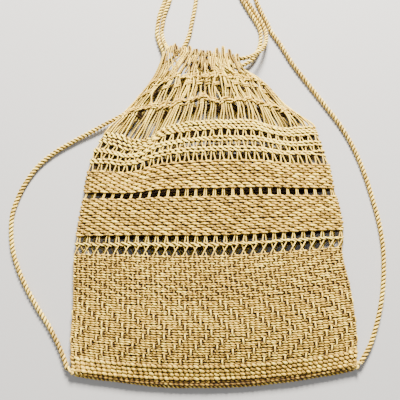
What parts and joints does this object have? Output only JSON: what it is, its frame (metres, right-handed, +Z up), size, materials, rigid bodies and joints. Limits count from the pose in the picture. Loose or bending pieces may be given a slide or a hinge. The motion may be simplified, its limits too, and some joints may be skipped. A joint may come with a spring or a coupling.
{
  "type": "drawstring rope bag",
  "caption": "Hand-twined plant-fibre drawstring backpack lying flat, with openwork rows, a gathered mouth, shoulder straps and cord carrying loops.",
  "frame": {"origin": "on the surface that the bag lies on, at the middle of the bag's own outline (straps and cords left out)", "axes": "+Z up out of the front face, +Y from the bottom seam to the mouth, +X to the right as the front is seen"},
  "size_m": [0.3558, 0.4528, 0.027],
  "materials": {
    "twined_cloth": "twined two-ply plant-fibre cord, dry and slightly glossy",
    "warp_cord": "two-ply plant-fibre warp cord, dry and slightly glossy",
    "drawcord": "two-ply laid plant-fibre cord"
  },
  "bodies": {
    "bag": {"bottom_seam": "twined_cloth", "bottom_courses_front": "twined_cloth", "bottom_courses_back": "twined_cloth", "basket_band_front": "twined_cloth", "basket_band_back": "twined_cloth", "chevron_band_front": "twined_cloth", "chevron_band_back": "twined_cloth", "double_open_low_warps_front": "warp_cord", "double_open_low_warps_back": "warp_cord", "double_open_mid_weft_front": "twined_cloth", "double_open_mid_weft_back": "twined_cloth", "double_open_high_warps_front": "warp_cord", "double_open_high_warps_back": "warp_cord", "middle_band_front": "twined_cloth", "middle_band_back": "twined_cloth", "single_open_warps_front": "warp_cord", "single_open_warps_back": "warp_cord", "upper_band_front": "twined_cloth", "upper_band_back": "twined_cloth", "neck_open_3_warps_front": "warp_cord", "neck_open_3_warps_back": "warp_cord", "weft_bar_3_front": "twined_cloth", "weft_bar_3_back": "twined_cloth", "neck_open_2_warps_front": "warp_cord", "neck_open_2_warps_back": "warp_cord", "weft_bar_2_front": "twined_cloth", "weft_bar_2_back": "twined_cloth", "neck_open_1_warps_front": "warp_cord", "neck_open_1_warps_back": "warp_cord", "weft_bar_1_front": "twined_cloth", "weft_bar_1_back": "twined_cloth", "free_warps_front": "warp_cord", "free_warps_back": "warp_cord", "gather_course_front": "twined_cloth", "gather_course_back": "twined_cloth", "mouth_net_front": "warp_cord", "mouth_net_back": "warp_cord", "mouth_loops_front": "warp_cord", "mouth_loops_back": "warp_cord", "corner_knot_left": "drawcord", "corner_knot_right": "drawcord", "left_lead": "drawcord", "drawcord_front_run": "drawcord", "drawcord_back_run": "drawcord", "right_lead": "drawcord"},
    "left_strap": {"left_strap": "drawcord"},
    "right_strap": {"right_strap": "drawcord"},
    "carry_loops": {"carry_loop_outer": "drawcord", "carry_loop_inner": "drawcord", "carry_loop_crossing": "drawcord"}
  },
  "joints": [
    {"name": "left_strap_swing", "type": "hinge", "parent": "bag", "child": "left_strap", "pos_m": [-0.1285, -0.148, 0.006], "axis": [0.0923, 0.9957, -0.0064], "range_deg": [0, 100]},
    {"name": "right_strap_swing", "type": "hinge", "parent": "bag", "child": "right_strap", "pos_m": [0.1285, -0.148, 0.006], "axis": [0.1629, -0.9866, 0.0104], "range_deg": [0, 100]},
    {"name": "carry_loops_lift", "type": "hinge", "parent": "bag", "child": "carry_loops", "pos_m": [0, 0.19, 0.0024], "axis": [1, 0, 0], "range_deg": [0, 90]}
  ]
}
